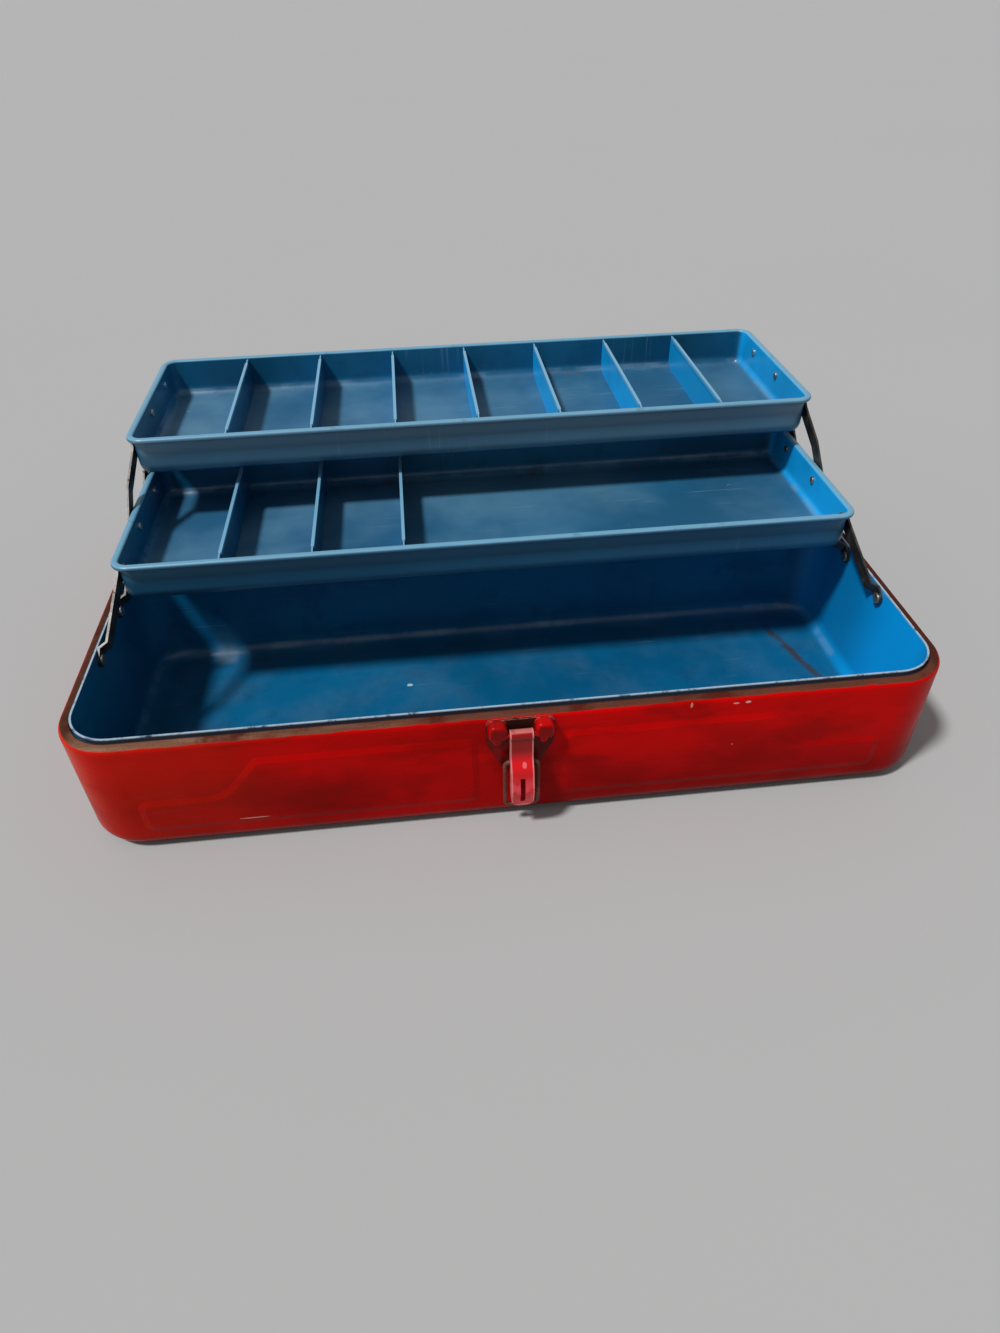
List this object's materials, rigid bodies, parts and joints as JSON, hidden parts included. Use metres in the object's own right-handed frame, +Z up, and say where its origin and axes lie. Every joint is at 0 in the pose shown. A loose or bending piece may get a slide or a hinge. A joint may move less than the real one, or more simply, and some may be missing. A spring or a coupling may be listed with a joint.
{
  "type": "cantilever tool box",
  "caption": "Open pressed steel cantilever tool box with a rounded case, hinged lid, two link-mounted compartment trays, front draw latch and a folding carrying handle.",
  "frame": {"origin": "middle of the case's bottom face, on the surface the box stands on", "axes": "+X to the box's right as seen from the latch side, +Y to the back where the lid lies open, +Z up"},
  "size_m": [0.452, 0.3681, 0.1409],
  "materials": {
    "red_enamel": "worn gloss enamel",
    "blue_enamel": "worn satin enamel",
    "tray_enamel": "dusty satin enamel",
    "strap_steel": "dark tarnished",
    "rivet_steel": "dull",
    "rivet_blue": "dusty satin enamel",
    "rusty_wire": "rust brown",
    "handle_steel": "dull plated"
  },
  "bodies": {
    "case": {"body_liner": "blue_enamel", "body_pivot_rivets": "rivet_steel", "body_shell": "red_enamel", "hinge_body_rivets": "rivet_steel", "hinge_leaf_body_left": "red_enamel", "hinge_leaf_body_right": "red_enamel", "hinge_pin_left": "rivet_steel", "hinge_pin_right": "rivet_steel", "latch_base_plate": "red_enamel", "latch_base_rivets": "rivet_steel", "latch_pivot_pin": "rivet_steel"},
    "lid": {"handle_bracket_left": "handle_steel", "handle_bracket_right": "handle_steel", "handle_bracket_rivets": "rivet_steel", "hinge_leaf_lid_left": "red_enamel", "hinge_leaf_lid_right": "red_enamel", "hinge_lid_rivets": "rivet_steel", "lid_catch": "red_enamel", "lid_catch_rivets": "rivet_steel", "lid_shell": "red_enamel"},
    "latch_bail": {"latch_bail": "rusty_wire"},
    "latch_lever": {"latch_lever": "red_enamel"},
    "lid_handle": {"lid_handle": "handle_steel"},
    "lower_front_links": {"lower_front_link_left": "strap_steel", "lower_front_link_right": "strap_steel"},
    "lower_rear_links": {"lower_rear_link_left": "strap_steel", "lower_rear_link_right": "strap_steel"},
    "lower_tray": {"lower_tray": "tray_enamel", "lower_tray_divider_1": "tray_enamel", "lower_tray_divider_2": "tray_enamel", "lower_tray_divider_3": "tray_enamel", "lower_tray_front_rivets": "rivet_blue", "lower_tray_middle_rivets": "rivet_blue", "lower_tray_middle_spacers": "rivet_steel", "lower_tray_rear_rivets": "rivet_blue", "lower_tray_rear_spacers": "rivet_steel"},
    "upper_front_links": {"upper_front_link_left": "strap_steel", "upper_front_link_right": "strap_steel"},
    "upper_rear_links": {"upper_rear_link_left": "strap_steel", "upper_rear_link_right": "strap_steel"},
    "upper_tray": {"upper_tray": "tray_enamel", "upper_tray_divider_1": "tray_enamel", "upper_tray_divider_2": "tray_enamel", "upper_tray_divider_3": "tray_enamel", "upper_tray_divider_4": "tray_enamel", "upper_tray_divider_5": "tray_enamel", "upper_tray_divider_6": "tray_enamel", "upper_tray_divider_7": "tray_enamel", "upper_tray_front_rivets": "rivet_blue", "upper_tray_middle_rivets": "rivet_blue", "upper_tray_plug_rivets": "rivet_blue"}
  },
  "joints": [
    {"name": "lid_hinge", "type": "hinge", "parent": "case", "child": "lid", "pos_m": [0, 0.0885, 0.0726], "axis": [1, 0, 0], "range_deg": [0, 180]},
    {"name": "lower_front_link_pivot", "type": "hinge", "parent": "case", "child": "lower_front_links", "pos_m": [0, -0.0077, 0.0688], "axis": [1, 0, 0], "range_deg": [0, 133]},
    {"name": "lower_rear_link_pivot", "type": "hinge", "parent": "case", "child": "lower_rear_links", "pos_m": [0, 0.0373, 0.0688], "axis": [1, 0, 0], "range_deg": [0, 133]},
    {"name": "lower_tray_pivot", "type": "hinge", "parent": "lower_front_links", "child": "lower_tray", "pos_m": [0, 0.03531, 0.09891], "axis": [1, 0, 0], "range_deg": [-133, 0]},
    {"name": "upper_front_link_pivot", "type": "hinge", "parent": "lower_tray", "child": "upper_front_links", "pos_m": [0, 0.08031, 0.09891], "axis": [1, 0, 0], "range_deg": [0, 109.8]},
    {"name": "upper_rear_link_pivot", "type": "hinge", "parent": "lower_tray", "child": "upper_rear_links", "pos_m": [0, 0.1253, 0.09891], "axis": [1, 0, 0], "range_deg": [0, 109.8]},
    {"name": "upper_tray_pivot", "type": "hinge", "parent": "upper_front_links", "child": "upper_tray", "pos_m": [0, 0.11993, 0.13336], "axis": [1, 0, 0], "range_deg": [-109.8, 0]},
    {"name": "latch_lever_pivot", "type": "hinge", "parent": "case", "child": "latch_lever", "pos_m": [0, -0.09, 0.0655], "axis": [-1, 0, 0], "range_deg": [0, 120]},
    {"name": "latch_bail_pivot", "type": "hinge", "parent": "latch_lever", "child": "latch_bail", "pos_m": [0, -0.0902, 0.047], "axis": [-1, 0, 0], "range_deg": [0, 95]},
    {"name": "handle_pivot", "type": "hinge", "parent": "lid", "child": "lid_handle", "pos_m": [0, 0.177, 0.00375], "axis": [1, 0, 0], "range_deg": [-2.2, 90]}
  ],
  "couplings": [
    {"joint": "lower_front_link_pivot", "follows": "lid_hinge", "ratio": 0.7388},
    {"joint": "lower_rear_link_pivot", "follows": "lid_hinge", "ratio": 0.7388},
    {"joint": "lower_tray_pivot", "follows": "lid_hinge", "ratio": -0.7388},
    {"joint": "upper_front_link_pivot", "follows": "lid_hinge", "ratio": 0.61},
    {"joint": "upper_rear_link_pivot", "follows": "lid_hinge", "ratio": 0.61},
    {"joint": "upper_tray_pivot", "follows": "lid_hinge", "ratio": -0.61}
  ]
}
